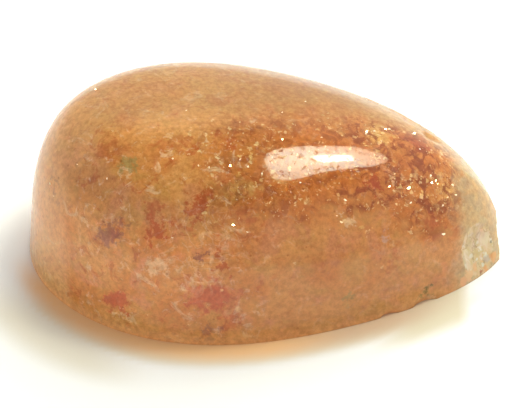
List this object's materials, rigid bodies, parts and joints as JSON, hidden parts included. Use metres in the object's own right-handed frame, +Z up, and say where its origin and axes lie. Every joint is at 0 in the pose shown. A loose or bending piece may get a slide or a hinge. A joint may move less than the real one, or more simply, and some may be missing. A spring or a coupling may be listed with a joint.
{
  "type": "sunstone cabochon",
  "caption": "Pear-shaped sunstone cabochon: honey-orange feldspar with glittering flakes inside, a flat base, a high polished dome and a broken tip.",
  "frame": {"origin": "in the plane of the flat base, under the middle of the stone's bounding box", "axes": "+X from the blunt end to the broken tip, +Y across the stone to its far side, +Z up from the flat base to the top of the dome"},
  "size_m": [0.0148, 0.01, 0.0054],
  "materials": {
    "sunstone": "polished, half clear honey-orange feldspar with red and copper-coloured flakes grown inside; the broken tip is unpolished"
  },
  "bodies": {
    "root": {"sunstone": "sunstone"}
  },
  "joints": []
}
